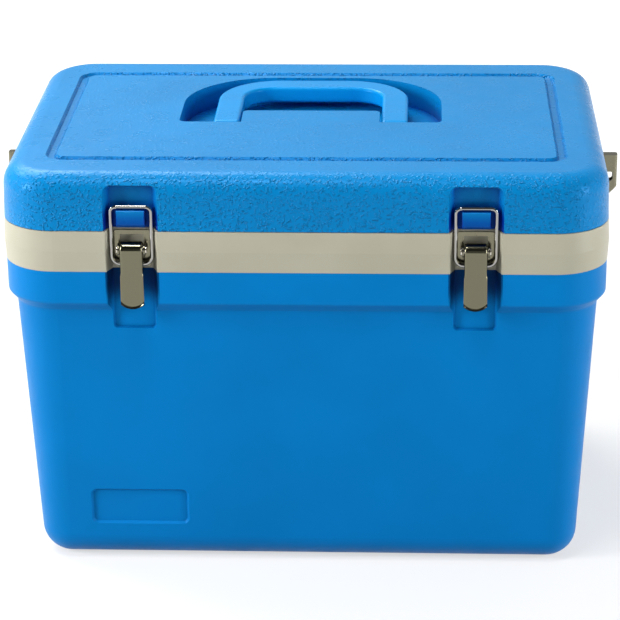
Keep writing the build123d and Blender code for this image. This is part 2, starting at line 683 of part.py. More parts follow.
with BuildPart() as base_form:
    with BuildSketch(Plane.XZ.offset(-LATCH_FLOOR_Y)):
        with Locations((0, plate_low + BASE_PLATE_HEIGHT / 2)):
            RectangleRounded(BASE_PLATE_WIDTH, BASE_PLATE_HEIGHT, BASE_PLATE_CORNER)
        with Locations((0, plate_low + WINDOW_SILL + WINDOW_HEIGHT / 2)):
            Rectangle(2 * ear_inner, WINDOW_HEIGHT, mode=Mode.SUBTRACT)
        with Locations(*[(half * LATCH_RIVET_PITCH / 2, LATCH_RIVET_Z) for half in (-1, 1)]):
            Circle(RIVET_R, mode=Mode.SUBTRACT)
    extrude(amount=LATCH_SHEET)
    for half in (-1, 1):
        with BuildSketch(Plane.YZ.offset(half * ear_inner)):
            with Locations((LATCH_PIVOT_Y, LATCH_PIVOT_Z)):
                Circle(EAR_HEIGHT / 2)
            with Locations(((LATCH_PIVOT_Y + LATCH_FLOOR_Y) / 2, LATCH_PIVOT_Z)):
                Rectangle(LATCH_PIVOT_OUT, EAR_HEIGHT)
        extrude(amount=half * LATCH_SHEET)
    add(pivot_rod(ear_outer + 1, LATCH_PIN_R, LATCH_PIVOT_Y, LATCH_PIVOT_Z), mode=Mode.SUBTRACT)

with BuildPart() as pin_form:
    add(pivot_rod(ear_outer + LATCH_HEAD, LATCH_PIN_R, LATCH_PIVOT_Y, LATCH_PIVOT_Z))
    for half in (-1, 1):
        head_start = (half * ear_outer, LATCH_PIVOT_Y, LATCH_PIVOT_Z)
        head_end = (half * (ear_outer + LATCH_HEAD), LATCH_PIVOT_Y, LATCH_PIVOT_Z)
        add(rod(head_start, head_end, LATCH_HEAD_R))

face_y = LATCH_PIVOT_Y - LEVER_ROLL
lip_drop = (LIP_RADIUS + LATCH_SHEET) * sin(radians(LIP_ANGLE))
lip_centre = (face_y - LIP_RADIUS, LATCH_PIVOT_Z - LEVER_LENGTH + lip_drop)
pivot_place = (LATCH_PIVOT_Y, LATCH_PIVOT_Z)
roll_turn = 180 + LEVER_ROLL_TAIL
cheek_low = LATCH_PIVOT_Z - LEVER_CHEEK_DROP

with BuildPart() as lever_form:
    with BuildSketch(Plane.YZ):
        with BuildLine():
            roll_outer = CenterArc(pivot_place, LEVER_ROLL, -LEVER_ROLL_TAIL, roll_turn)
            roll_inner = CenterArc(pivot_place, LEVER_ROLL - LATCH_SHEET, -LEVER_ROLL_TAIL, roll_turn)
            lip_outer = CenterArc(lip_centre, LIP_RADIUS, 0, -LIP_ANGLE)
            lip_inner = CenterArc(lip_centre, LIP_RADIUS + LATCH_SHEET, 0, -LIP_ANGLE)
            Line(roll_outer @ 1, lip_outer @ 0)
            Line(roll_inner @ 1, lip_inner @ 0)
            Line(roll_outer @ 0, roll_inner @ 0)
            Line(lip_outer @ 1, lip_inner @ 1)
        make_face()
    extrude(amount=LEVER_TIP_WIDTH / 2, both=True)
    with BuildSketch(Plane.XZ) as lever_outline:
        with BuildLine():
            Polyline(
                (-LEVER_WIDTH / 2, LATCH_PIVOT_Z + LEVER_ROLL + 1),
                (LEVER_WIDTH / 2, LATCH_PIVOT_Z + LEVER_ROLL + 1),
                (LEVER_WIDTH / 2, cheek_low),
                (LEVER_TIP_WIDTH / 2, LATCH_PIVOT_Z - LEVER_LENGTH),
                (-LEVER_TIP_WIDTH / 2, LATCH_PIVOT_Z - LEVER_LENGTH),
                (-LEVER_WIDTH / 2, cheek_low),
                close=True,
            )
        make_face()
        fillet(lever_outline.vertices().group_by(Axis.Y)[0], LEVER_TIP_CORNER)
    extrude(amount=DEPTH, both=True, mode=Mode.INTERSECT)
    for half in (-1, 1):
        with BuildSketch(Plane.YZ.offset(half * (LEVER_WIDTH / 2 - LATCH_SHEET))):
            with Locations(pivot_place):
                Circle(LEVER_ROLL)
            with BuildLine():
                Polyline(
                    (face_y, LATCH_PIVOT_Z),
                    (LATCH_PIVOT_Y + LEVER_BACK, LATCH_PIVOT_Z),
                    (LATCH_PIVOT_Y + LEVER_BACK, cheek_low + LEVER_BACK),
                    (LATCH_PIVOT_Y, cheek_low),
                    (face_y + LATCH_SHEET, cheek_low - LEVER_BACK),
                    (face_y, cheek_low - LEVER_BACK),
                    close=True,
                )
            make_face()
        extrude(amount=half * LATCH_SHEET)
    across = LEVER_WIDTH / 2 + 1
    add(pivot_rod(across, LATCH_PIN_R + PIN_RUNNING, LATCH_PIVOT_Y, LATCH_PIVOT_Z), mode=Mode.SUBTRACT)
    add(pivot_rod(across, BAIL_WIRE_R + PIN_RUNNING, BAIL_PIVOT_Y, BAIL_PIVOT_Z), mode=Mode.SUBTRACT)

foot_end = LEVER_WIDTH / 2 - LATCH_SHEET - BAIL_FOOT_PAST
with BuildPart() as bail_form:
    with BuildLine(Plane.XZ.offset(-BAIL_PIVOT_Y)) as bail_path:
        FilletPolyline(
            (-foot_end, BAIL_PIVOT_Z),
            (-bail_half, BAIL_PIVOT_Z),
            (-bail_half, BAIL_BAR_Z),
            (bail_half, BAIL_BAR_Z),
            (bail_half, BAIL_PIVOT_Z),
            (foot_end, BAIL_PIVOT_Z),
            radius=[BAIL_FOOT_CORNER, BAIL_CORNER, BAIL_CORNER, BAIL_FOOT_CORNER],
        )
    with BuildSketch(Plane(origin=bail_path.line @ 0, z_dir=bail_path.line % 0)):
        Circle(BAIL_WIRE_R)
    sweep()

latch_forms = {
    "latch_base": base_form.part,
    "latch_pin": pin_form.part,
    "latch_lever": lever_form.part,
    "latch_bail": bail_form.part,
}
for side, sign in SIDES.items():
    for name, form in latch_forms.items():
        piece = Pos(sign * LATCH_X, 0, 0) * form
        piece.label = f"{name}_{side}"
        export_step(piece, f"parts/{name}_{side}.step")

with BuildPart() as latch_rivets:
    for sign in SIDES.values():
        for point in latch_rivet_points(sign):
            rivet = rivet_form(RIVET_R, LATCH_SHEET + SKIN, LATCH_RIVET_HEAD_R, RIVET_HEAD)
            add(facing(point, (0, -1, 0)) * rivet)
latch_rivets.part.label = "latch_rivets"
export_step(latch_rivets.part, "parts/latch_rivets.step")

# ---- Hinges ----
knuckle_half = HINGE_WIDTH / 6
knuckle_places = {
    "lid": [(-knuckle_half, knuckle_half)],
    "body": [(-HINGE_WIDTH / 2, -knuckle_half - KNUCKLE_GAP), (knuckle_half + KNUCKLE_GAP, HINGE_WIDTH / 2)],
}
other_leaf = {"lid": "body", "body": "lid"}
leaf_up = {"lid": 1, "body": -1}
bore_growth = {"lid": PIN_RUNNING, "body": 0}


def hinge_leaf(leaf, sign):
    """Hinge leaf with its knuckles, on one side of the box."""
    up = leaf_up[leaf]
    centre = sign * HINGE_X
    notch = up * (KNUCKLE_R + KNUCKLE_GAP)
    with BuildPart() as solid:
        with BuildSketch(Plane.XZ.offset(-HINGE_SEAT_Y - LEAF_SHEET)) as outline:
            with Locations((centre, HINGE_AXIS_Z + up * LEAF_HEIGHT / 2)):
                Rectangle(HINGE_WIDTH, LEAF_HEIGHT)
            far_z = HINGE_AXIS_Z + up * LEAF_HEIGHT
            fillet(outline.vertices().filter_by(lambda vertex: abs(vertex.Y - far_z) < 0.01), LEAF_CORNER)
            for low, high in knuckle_places[other_leaf[leaf]]:
                with Locations((centre + (low + high) / 2, HINGE_AXIS_Z + notch / 2)):
                    Rectangle(high - low + 2 * KNUCKLE_GAP, abs(notch), mode=Mode.SUBTRACT)
        extrude(amount=LEAF_SHEET)
        for low, high in knuckle_places[leaf]:
            start = (centre + low, HINGE_AXIS_Y, HINGE_AXIS_Z)
            end = (centre + high, HINGE_AXIS_Y, HINGE_AXIS_Z)
            add(rod(start, end, KNUCKLE_R))
        bore = (HINGE_WIDTH / 2 + 1, HINGE_PIN_R + bore_growth[leaf], HINGE_AXIS_Y, HINGE_AXIS_Z)
        add(Pos(centre, 0, 0) * pivot_rod(*bore), mode=Mode.SUBTRACT)
        for hole in shank_holes(hinge_rivet_points(sign, up), (0, -1, 0), LEAF_SHEET, SKIN):
            add(hole, mode=Mode.SUBTRACT)
    return solid.part


def hinge_rivets(up):
    """The rivets of both hinges on the lid or on the body."""
    with BuildPart() as solid:
        for sign in SIDES.values():
            for point in hinge_rivet_points(sign, up):
                rivet = rivet_form(RIVET_R, LEAF_SHEET + SKIN, RIVET_HEAD_R, RIVET_HEAD)
                add(facing(point, (0, 1, 0)) * rivet)
    return solid.part


with BuildPart() as hinge_pin_form:
    pin_half = HINGE_WIDTH / 2
    add(pivot_rod(pin_half + HINGE_PIN_HEAD, HINGE_PIN_R, HINGE_AXIS_Y, HINGE_AXIS_Z))
    for half in (-1, 1):
        head_start = (half * pin_half, HINGE_AXIS_Y, HINGE_AXIS_Z)
        head_end = (half * (pin_half + HINGE_PIN_HEAD), HINGE_AXIS_Y, HINGE_AXIS_Z)
        add(rod(head_start, head_end, HINGE_PIN_R + HINGE_PIN_HEAD))

for side, sign in SIDES.items():
    hinge_pieces = {
        f"hinge_body_leaf_{side}": hinge_leaf("body", sign),
        f"hinge_lid_leaf_{side}": hinge_leaf("lid", sign),
        f"hinge_pin_{side}": Pos(sign * HINGE_X, 0, 0) * hinge_pin_form.part,
    }
    for name, piece in hinge_pieces.items():
        piece.label = name
        export_step(piece, f"parts/{name}.step")

for leaf, up in leaf_up.items():
    rivets = hinge_rivets(up)
    rivets.label = f"hinge_{leaf}_rivets"
    export_step(rivets, f"parts/hinge_{leaf}_rivets.step")

# ---- Strap lugs ----
lug_face_x = LUG_SEAT_X + LUG_SHEET
lug_web_x = LUG_SEAT_X + LUG_REACH
lug_low = BAND_Z + LUG_BOTTOM
lug_top = SEAM_Z + LUG_TOP
lug_clear_x = HALF_W - BAND_CREST + LUG_LID_GAP
lug_plate_top = LUG_MIDDLE_Z + LUG_PLATE_HEIGHT / 2
slope_lift = LUG_SHEET * hypot(1, LUG_SLOPE / (lug_web_x - lug_face_x))
inner_web_x = lug_web_x - LUG_SHEET
lug_hole_x = inner_web_x - LUG_HOLE_INSET - LUG_HOLE_WIDTH / 2
inner_slope_top = lug_low + slope_lift + LUG_SLOPE * (inner_web_x - lug_face_x) / (lug_web_x - lug_face_x)

with BuildPart() as lug_form:
    with BuildSketch(Plane.XZ):
        with BuildLine():
            Polyline(
                (LUG_SEAT_X, lug_low),
                (lug_face_x, lug_low),
                (lug_web_x, lug_low + LUG_SLOPE),
                (lug_web_x, lug_top),
                (lug_clear_x, lug_top),
                (lug_clear_x, lug_plate_top),
                (LUG_SEAT_X, lug_plate_top),
                close=True,
            )
        make_face()
    extrude(amount=LUG_LOOP_WIDTH / 2, both=True)
    web_edges = lug_form.edges().filter_by(Axis.Z).group_by(Axis.X)[-1]
    fillet(web_edges, LUG_EDGE)
    with BuildSketch(Plane.XZ):
        with BuildLine():
            Polyline(
                (lug_face_x, lug_low + slope_lift),
                (inner_web_x, inner_slope_top),
                (inner_web_x, lug_top - LUG_SHEET),
                (lug_face_x, lug_top - LUG_SHEET),
                close=True,
            )
        make_face()
    extrude(amount=LUG_LOOP_WIDTH / 2 - LUG_SHEET, both=True, mode=Mode.SUBTRACT)
    with BuildSketch(Plane.YZ.offset(LUG_SEAT_X)):
        with Locations((0, LUG_MIDDLE_Z)):
            RectangleRounded(LUG_PLATE_WIDTH, LUG_PLATE_HEIGHT, LUG_PLATE_CORNER)
        with Locations(*[(half * LUG_RIVET_PITCH / 2, LUG_MIDDLE_Z) for half in (-1, 1)]):
            Circle(RIVET_R, mode=Mode.SUBTRACT)
    extrude(amount=LUG_SHEET)
    with BuildSketch(Plane.XZ):
        with Locations((lug_hole_x, BAND_Z + LUG_HOLE_UP + LUG_HOLE_HEIGHT / 2)):
            RectangleRounded(LUG_HOLE_WIDTH, LUG_HOLE_HEIGHT, LUG_HOLE_CORNER)
    extrude(amount=LUG_LOOP_WIDTH, both=True, mode=Mode.SUBTRACT)

lugs = {"right": lug_form.part, "left": lug_form.part.mirror(Plane.YZ)}
for side, lug in lugs.items():
    lug.label = f"strap_lug_{side}"
    export_step(lug, f"parts/strap_lug_{side}.step")

with BuildPart() as strap_lug_rivets:
    for sign in SIDES.values():
        for point in lug_rivet_points(sign):
            rivet = rivet_form(RIVET_R, LUG_SHEET + SKIN, RIVET_HEAD_R, RIVET_HEAD)
            add(facing(point, (sign, 0, 0)) * rivet)
strap_lug_rivets.part.label = "strap_lug_rivets"
export_step(strap_lug_rivets.part, "parts/strap_lug_rivets.step")

# ---- Ice packs and their caps ----
pack_floor = FLOOR_THICKNESS + PACK_STAND
pack_height = LID_Z - PLUG_DEPTH - PACK_HEADROOM - CAP_HEIGHT - pack_floor

with BuildPart() as pack_form:
    with BuildSketch(Plane.XZ):
        with Locations((0, pack_height / 2)):
            RectangleRounded(PACK_WIDTH, pack_height, PACK_CORNER)
    extrude(amount=PACK_THICKNESS / 2, both=True)
    face_edges = pack_form.faces().filter_by(Axis.Y).edges()
    fillet(face_edges, PACK_EDGE)
    for half in (-1, 1):
        with BuildSketch(Plane.XZ.offset(half * PACK_THICKNESS / 2)):
            with Locations((0, pack_height / 2)):
                panel_w = PACK_WIDTH - 2 * PACK_PANEL_MARGIN
                panel_h = pack_height - 2 * PACK_PANEL_MARGIN
                RectangleRounded(panel_w, panel_h, PACK_CORNER)
        extrude(amount=-half * PACK_PANEL, taper=45, mode=Mode.SUBTRACT)
    with Locations((NECK_X, 0, pack_height + NECK_HEIGHT / 2)):
        Cylinder(NECK_R, NECK_HEIGHT)

with BuildPart() as cap_form:
    with BuildSketch(Plane.XY.offset(pack_height)):
        with Locations((NECK_X, 0)):
            Circle(CAP_R)
            with PolarLocations(CAP_R, CAP_RIBS):
                Circle(CAP_RIB_R)
    extrude(amount=CAP_HEIGHT)
    with Locations((NECK_X, 0, pack_height + NECK_HEIGHT / 2)):
        Cylinder(NECK_R, NECK_HEIGHT, mode=Mode.SUBTRACT)

pack_y = HALF_D - WALL_AT_RIM - BASIN_TAPER - PACK_OFF_WALL - PACK_THICKNESS / 2
pack_x = HALF_W - WALL_AT_RIM - BASIN_TAPER - PACK_OFF_WALL - PACK_THICKNESS / 2
pack_places = {
    "front": Location((0, -pack_y, pack_floor), (0, 0, 0)),
    "rear": Location((0, pack_y, pack_floor), (0, 0, 180)),
    "left": Location((-pack_x, 0, pack_floor), (0, 0, -90)),
    "right": Location((pack_x, 0, pack_floor), (0, 0, 90)),
}
for side, place in pack_places.items():
    pack = place * pack_form.part
    pack.label = f"ice_pack_{side}"
    export_step(pack, f"parts/ice_pack_{side}.step")

with BuildPart() as ice_pack_caps:
    for place in pack_places.values():
        add(place * cap_form.part)
ice_pack_caps.part.label = "ice_pack_caps"
export_step(ice_pack_caps.part, "parts/ice_pack_caps.step")
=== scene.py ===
"""Insulated vaccine carrier on a pale studio floor.  Metres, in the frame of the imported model."""

from math import cos, pi, radians, sin

import bmesh
import bpy
import numpy as np
from mathutils import Matrix, Vector


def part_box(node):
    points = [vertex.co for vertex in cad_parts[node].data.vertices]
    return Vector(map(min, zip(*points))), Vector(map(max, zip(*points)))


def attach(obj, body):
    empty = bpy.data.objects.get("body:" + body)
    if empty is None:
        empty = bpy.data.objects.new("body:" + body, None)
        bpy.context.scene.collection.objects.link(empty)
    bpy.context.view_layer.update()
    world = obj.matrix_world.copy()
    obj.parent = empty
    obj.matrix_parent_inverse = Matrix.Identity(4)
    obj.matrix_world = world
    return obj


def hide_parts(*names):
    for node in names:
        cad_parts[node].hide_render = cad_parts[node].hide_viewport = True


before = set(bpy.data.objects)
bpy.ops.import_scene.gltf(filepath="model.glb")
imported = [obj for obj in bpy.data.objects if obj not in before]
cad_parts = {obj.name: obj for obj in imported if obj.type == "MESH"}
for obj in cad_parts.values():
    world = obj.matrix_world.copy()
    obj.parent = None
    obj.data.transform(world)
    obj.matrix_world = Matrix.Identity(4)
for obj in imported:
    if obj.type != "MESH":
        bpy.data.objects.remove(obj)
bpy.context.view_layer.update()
MM = 0.001

# ---- Sizes of the patterns ----
CLOUD = 71.43 * MM  # patch of the faint colour drift
SCUFF = 16.67 * MM  # patch of handling wear
DIMPLE = 1.111 * MM  # orange peel left by a mould
DRAWN_LINE = 0.8333 * MM  # line left by drawing the metal, coarser than the real one so that it shows
HAND_MARK = 7.692 * MM  # mark of handling on metal
# Noise values between which the colour drifts, the roughness drifts, and a pebble rises.
DRIFT_LOW, DRIFT_HIGH = 0.35, 0.65
MOTTLE_LOW, MOTTLE_HIGH = 0.3, 0.7
PEBBLE_FOOT, PEBBLE_TOP = 0.50, 0.74

# ---- Painted shade, and wear of the grain ----
NOOK = 16 * MM  # NOOK = 16 * MM # how far painted shade reaches round a corner
NOOK_DARKEST, NOOK_CLEAR = 0.25, 0.97  # NOOK_DARKEST, NOOK_CLEAR = 0.25, 0.97 # share of open air at which a nook's painted shade is darkest, and ends
PAINTED_RECESS_SHADE = 0.52  # PAINTED_RECESS_SHADE = 0.52 # share of open air taken off where the painted shade of the latch recesses is darkest
# The pebble grain is worn down on top, as the upward part of the normal goes from SLOPING to LEVEL.
SLOPING, LEVEL = 0.72, 1.0
TOP_GRAIN = 0.10  # share of its height that is left there
# Hands and straps have worn it at the two ends, over this distance from the middle.
END_START, END_FULL = 176 * MM, 202 * MM
END_GRAIN = 0.3  # share of its height that is left there

# Boxes as (centre, half size), mirrored in x: a latch recess from tub to lid, its part in the lid, and the
# recess of the folded handle.
LATCH_RECESS = ((120.2 * MM, -145 * MM, 245 * MM), (19 * MM, 12 * MM, 60 * MM))
LID_LATCH_RECESS = ((120.2 * MM, -145 * MM, 280 * MM), (19 * MM, 12 * MM, 16.5 * MM))
HANDLE_RECESS = ((0, 38 * MM, 293 * MM), (98.5 * MM, 60 * MM, 10.8 * MM))

SMOOTHSTEP = {"interpolation_type": "SMOOTHSTEP"}
MULTIPLY = {"operation": "MULTIPLY"}
SUBTRACT = {"operation": "SUBTRACT"}
ABSOLUTE = {"operation": "ABSOLUTE"}
MAXIMUM = {"operation": "MAXIMUM"}


# ---- Materials ----
def linear(hex_colour):
    """sRGB hex to linear RGBA: each channel through the sRGB transfer curve."""
    channels = [int(hex_colour[i:i + 2], 16) / 255 for i in (1, 3, 5)]
    curve = [c / 12.92 if c <= 0.04045 else ((c + 0.055) / 1.055) ** 2.4 for c in channels]
    return (*curve, 1.0)


def add(tree, kind, settings=None, values=None, links=None):
    """Adds a node: settings are its attributes, values its inputs, links its inputs fed by (node, output)."""
    node = tree.nodes.new(kind)
    for name, value in (settings or {}).items():
        setattr(node, name, value)
    for name, value in (values or {}).items():
        node.inputs[name].default_value = value
    for name, (source, output) in (links or {}).items():
        tree.links.new(source.outputs[output], node.inputs[name])
    return node


def new_material(name):
    """An empty node material and its tree."""
    material = bpy.data.materials.new(name)
    material.use_nodes = True
    material.node_tree.nodes.clear()
    return material, material.node_tree


def zone(tree, axes, centre, half):
    """1 inside the box round a centre and 0 outside; axes are the Object coordinates, mirrored in x."""
    mirrored = add(tree, "ShaderNodeMath", ABSOLUTE, links={0: (axes, "X")})
    inside = None
    for feed, middle, reach in zip(((mirrored, "Value"), (axes, "Y"), (axes, "Z")), centre, half):
        near = add(tree, "ShaderNodeMath", {"operation": "COMPARE"}, {1: middle, 2: reach}, {0: feed})
        if inside:
            near = add(tree, "ShaderNodeMath", MULTIPLY, links={0: (inside, "Value"), 1: (near, "Value")})
        inside = near
    return inside


def shaded_nooks(tree, axes, tint, deep, recess_shade_heights):
    """Painted shade: the tint, mixed towards deep where little open air lies within NOOK on the same piece.

    The last one is (height of the darkest painted shade in the latch recesses, height where it ends), or
    None.
    """
    settings = {"samples": 8, "only_local": True}
    open_air = (add(tree, "ShaderNodeAmbientOcclusion", settings, {"Distance": NOOK}), "AO")
    if recess_shade_heights:
        darkest, end = recess_shade_heights
        shade_by_height = add(
            tree,
            "ShaderNodeMapRange",
            SMOOTHSTEP,
            {"From Min": end, "From Max": darkest, "To Max": PAINTED_RECESS_SHADE},
            {"Value": (axes, "Z")},
        )
        recess = zone(tree, axes, *LATCH_RECESS)
        recess_shade = add(tree, "ShaderNodeMath", MULTIPLY, links={0: (shade_by_height, "Result"), 1: (recess, "Value")})
        shaded_open_air = add(tree, "ShaderNodeMath", SUBTRACT, links={0: open_air, 1: (recess_shade, "Value")})
        open_air = (shaded_open_air, "Value")
    cleared = add(
        tree,
        "ShaderNodeMapRange",
        SMOOTHSTEP,
        {"From Min": NOOK_DARKEST, "From Max": NOOK_CLEAR},
        {"Value": open_air},
    )
    return add(
        tree,
        "ShaderNodeMixRGB",
        values={"Color1": linear(deep)},
        links={"Fac": (cleared, "Result"), "Color2": (tint, "Color")},
    )


def pebble_grain(tree, place, axes, width):
    """Height of a coarse grain, 0 to 1, as (node, output): the high spots of a noise of that width.

    It is worn down on faces that look up, fades at the two ends, and is missing from the recesses.
    """
    noise = add(
        tree,
        "ShaderNodeTexNoise",
        values={"Scale": 1 / width, "Detail": 1.0},
        links={"Vector": (place, "Object")},
    )
    facing = add(tree, "ShaderNodeNewGeometry")
    upward = add(tree, "ShaderNodeSeparateXYZ", links={"Vector": (facing, "True Normal")})
    worn = add(
        tree,
        "ShaderNodeMapRange",
        values={"From Min": SLOPING, "From Max": LEVEL, "To Min": 1.0, "To Max": TOP_GRAIN},
        links={"Value": (upward, "Z")},
    )
    dome = add(
        tree,
        "ShaderNodeMapRange",
        SMOOTHSTEP,
        {"From Min": PEBBLE_FOOT, "From Max": PEBBLE_TOP, "To Min": 0.0},
        {"Value": (noise, "Fac"), "To Max": (worn, "Result")},
    )
    sideways = add(tree, "ShaderNodeMath", ABSOLUTE, links={0: (axes, "X")})
    ends = add(
        tree,
        "ShaderNodeMapRange",
        SMOOTHSTEP,
        {"From Min": END_START, "From Max": END_FULL, "To Min": 1.0, "To Max": END_GRAIN},
        {"Value": (sideways, "Value")},
    )
    grain = add(tree, "ShaderNodeMath", MULTIPLY, links={0: (dome, "Result"), 1: (ends, "Result")})
    for box in (LID_LATCH_RECESS, HANDLE_RECESS):
        inside = zone(tree, axes, *box)
        outside = add(tree, "ShaderNodeMath", SUBTRACT, {0: 1.0}, {1: (inside, "Value")})
        grain = add(tree, "ShaderNodeMath", MULTIPLY, links={0: (grain, "Value"), 1: (outside, "Value")})
    return grain, "Value"


def moulded_plastic(
    name,
    colour,
    shade,
    roughness,
    pebble=None,
    peel=0.03,
    scuff=0.06,
    ior=1.5,
    sheen="#FFFFFF",
    deep=None,
    recess_shade_heights=None,
):
    """Injection or rotation moulded plastic.

    colour and shade are the two ends of a faint cloudy drift, pebble is (width mm, height mm) of a coarse
    grain, peel the height in mm of the fine orange peel that any moulding has, scuff the drift of roughness,
    sheen the tint of its reflection seen square on; the last two paint shade, deep the colour of the painted
    shade in its nooks and the other the heights of the painted shade in the latch recesses.
    """
    material, tree = new_material(name)
    place = add(tree, "ShaderNodeTexCoord")
    axes = add(tree, "ShaderNodeSeparateXYZ", links={"Vector": (place, "Object")})
    cloud = add(
        tree,
        "ShaderNodeTexNoise",
        values={"Scale": 1 / CLOUD, "Detail": 5.0},
        links={"Vector": (place, "Object")},
    )
    drift = add(
        tree,
        "ShaderNodeMapRange",
        values={"From Min": DRIFT_LOW, "From Max": DRIFT_HIGH},
        links={"Value": (cloud, "Fac")},
    )
    tint = add(
        tree,
        "ShaderNodeMixRGB",
        values={"Color1": linear(shade), "Color2": linear(colour)},
        links={"Fac": (drift, "Result")},
    )
    if deep:
        tint = shaded_nooks(tree, axes, tint, deep, recess_shade_heights)
    wear = add(
        tree,
        "ShaderNodeTexNoise",
        values={"Scale": 1 / SCUFF, "Detail": 8.0},
        links={"Vector": (place, "Object")},
    )
    rough = add(
        tree,
        "ShaderNodeMapRange",
        values={
            "From Min": MOTTLE_LOW,
            "From Max": MOTTLE_HIGH,
            "To Min": roughness - scuff,
            "To Max": roughness + scuff,
        },
        links={"Value": (wear, "Fac")},
    )
    dimples = add(
        tree,
        "ShaderNodeTexNoise",
        values={"Scale": 1 / DIMPLE, "Detail": 2.0},
        links={"Vector": (place, "Object")},
    )
    bump = add(
        tree,
        "ShaderNodeBump",
        values={"Strength": 1.0, "Distance": peel * MM},
        links={"Height": (dimples, "Fac")},
    )
    if pebble:
        width, height = pebble
        bump = add(
            tree,
            "ShaderNodeBump",
            values={"Strength": 1.0, "Distance": height * MM},
            links={"Height": pebble_grain(tree, place, axes, width * MM), "Normal": (bump, "Normal")},
        )
    shader = add(
        tree,
        "ShaderNodeBsdfPrincipled",
        values={"IOR": ior, "Specular Tint": linear(sheen)},
        links={"Base Color": (tint, "Color"), "Roughness": (rough, "Result"), "Normal": (bump, "Normal")},
    )
    add(tree, "ShaderNodeOutputMaterial", links={"Surface": (shader, "BSDF")})
    return material


def sheet_metal(name, colour, roughness, stretch=(1.0, 1.0, 1.0), grain=0.01, speckle=0.04):
    """Pressed or drawn metal: fine lines stretched along the drawing direction, and faint handling marks.

    grain is the height in mm of the lines, speckle the drift of roughness over the marks.
    """
    material, tree = new_material(name)
    place = add(tree, "ShaderNodeTexCoord")
    drawn = add(tree, "ShaderNodeMapping", values={"Scale": stretch}, links={"Vector": (place, "Object")})
    lines = add(
        tree,
        "ShaderNodeTexNoise",
        values={"Scale": 1 / DRAWN_LINE, "Detail": 3.0},
        links={"Vector": (drawn, "Vector")},
    )
    marks = add(
        tree,
        "ShaderNodeTexNoise",
        values={"Scale": 1 / HAND_MARK, "Detail": 6.0},
        links={"Vector": (place, "Object")},
    )
    rough = add(
        tree,
        "ShaderNodeMapRange",
        values={
            "From Min": MOTTLE_LOW,
            "From Max": MOTTLE_HIGH,
            "To Min": roughness - speckle,
            "To Max": roughness + speckle,
        },
        links={"Value": (marks, "Fac")},
    )
    bump = add(
        tree,
        "ShaderNodeBump",
        values={"Strength": 1.0, "Distance": grain * MM},
        links={"Height": (lines, "Fac")},
    )
    shader = add(
        tree,
        "ShaderNodeBsdfPrincipled",
        values={"Base Color": linear(colour), "Metallic": 1.0},
        links={"Roughness": (rough, "Result"), "Normal": (bump, "Normal")},
    )
    add(tree, "ShaderNodeOutputMaterial", links={"Surface": (shader, "BSDF")})
    return material


BLUE_SHEEN = "#6FB8FF"
DRAWN_UPRIGHT = (1.0, 1.0, 0.06)

# Pebbled polyethylene of the lid: sky blue, satin, with a coarse leather-like grain from the mould.
lid_blue = moulded_plastic(
    "pebbled_polyethylene_blue",
    "#0584C9",
    "#047FC2",
    0.30,
    pebble=(2.0, 1.1),
    ior=1.4,
    sheen=BLUE_SHEEN,
    # deep and the two heights after it paint shade into the nooks and the latch recesses
    deep="#002890",
    recess_shade_heights=(270 * MM, 288 * MM),
)
# The same polyethylene on the tub, from a plain mould: smooth, and duller than the lid.
tub_blue = moulded_plastic(
    "satin_polyethylene_blue",
    "#037FCC",
    "#037BC5",
    0.42,
    ior=1.3,
    sheen=BLUE_SHEEN,
    # deep and the two heights after it paint shade into the nooks and the latch recesses
    deep="#001C50",
    recess_shade_heights=(226 * MM, 204 * MM),
)
# Injection moulded polypropylene of the handle: the smoothest of the blues.
handle_blue = moulded_plastic(
    "smooth_polypropylene_blue",
    "#058DD6",
    "#0489D0",
    0.30,
    peel=0.015,
    ior=1.4,
    sheen=BLUE_SHEEN,
    # deep paints shade into the nooks
    deep="#0044A0",
)
# Ivory polyethylene of the rim band and basin: unpigmented, soft sheen.
# deep paints shade into the nooks
ivory = moulded_plastic("natural_polyethylene_ivory", "#B8B5A2", "#B1AE9A", 0.36, peel=0.02, deep="#5A5745")
# Poured polyurethane foam: pale yellow, dull, open cells where it is cut.
foam = moulded_plastic("polyurethane_foam_cream", "#E3D3A0", "#DAC890", 0.85, pebble=(1.2, 0.12))
# Neoprene gasket: near black, soft.
neoprene = moulded_plastic("neoprene_black", "#1D1E20", "#242527", 0.62, peel=0.05)
# Blow moulded ice pack: milky polyethylene.
milky = moulded_plastic("blow_moulded_polyethylene_milky", "#DDE8EE", "#D3E0E8", 0.34, peel=0.05)
# Screw cap: dark blue polypropylene.
cap_blue = moulded_plastic("polypropylene_cap_blue", "#1B4F93", "#184A8C", 0.38)
# Stamped stainless steel with a satin, slightly warm face.
steel = sheet_metal("satin_stainless_steel", "#7A7765", 0.24, stretch=DRAWN_UPRIGHT, grain=0.005)
# The same sheet polished on the levers: darker and sharper reflections.
polished = sheet_metal("polished_stainless_steel", "#6F6D5B", 0.14, stretch=DRAWN_UPRIGHT, grain=0.002)
# Bright drawn steel wire: nearly a mirror, so it picks up the light and the dark round it.
wire = sheet_metal("bright_drawn_wire", "#9C9B98", 0.06, grain=0.002, speckle=0.03)
# Nickel plated rivets and pins: the palest metal, soft highlights.
nickel = sheet_metal("nickel_plated_rivet", "#CFC9BF", 0.22, grain=0.003)

finishes = {
    "outer_shell": tub_blue,
    "inner_liner": ivory,
    "body_foam": foam,
    "lid_shell": lid_blue,
    "lid_liner": ivory,
    "lid_foam": foam,
    "lid_gasket": neoprene,
    "carry_handle": handle_blue,
    "ice_pack_caps": cap_blue,
}
for name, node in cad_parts.items():
    if name in finishes:
        finish = finishes[name]
    elif name.startswith("ice_pack_"):
        finish = milky
    elif name.startswith("latch_bail"):
        finish = wire
    elif "rivets" in name or "pin" in name:
        finish = nickel
    else:
        finish = steel
    for slot in node.material_slots:
        slot.material = finish

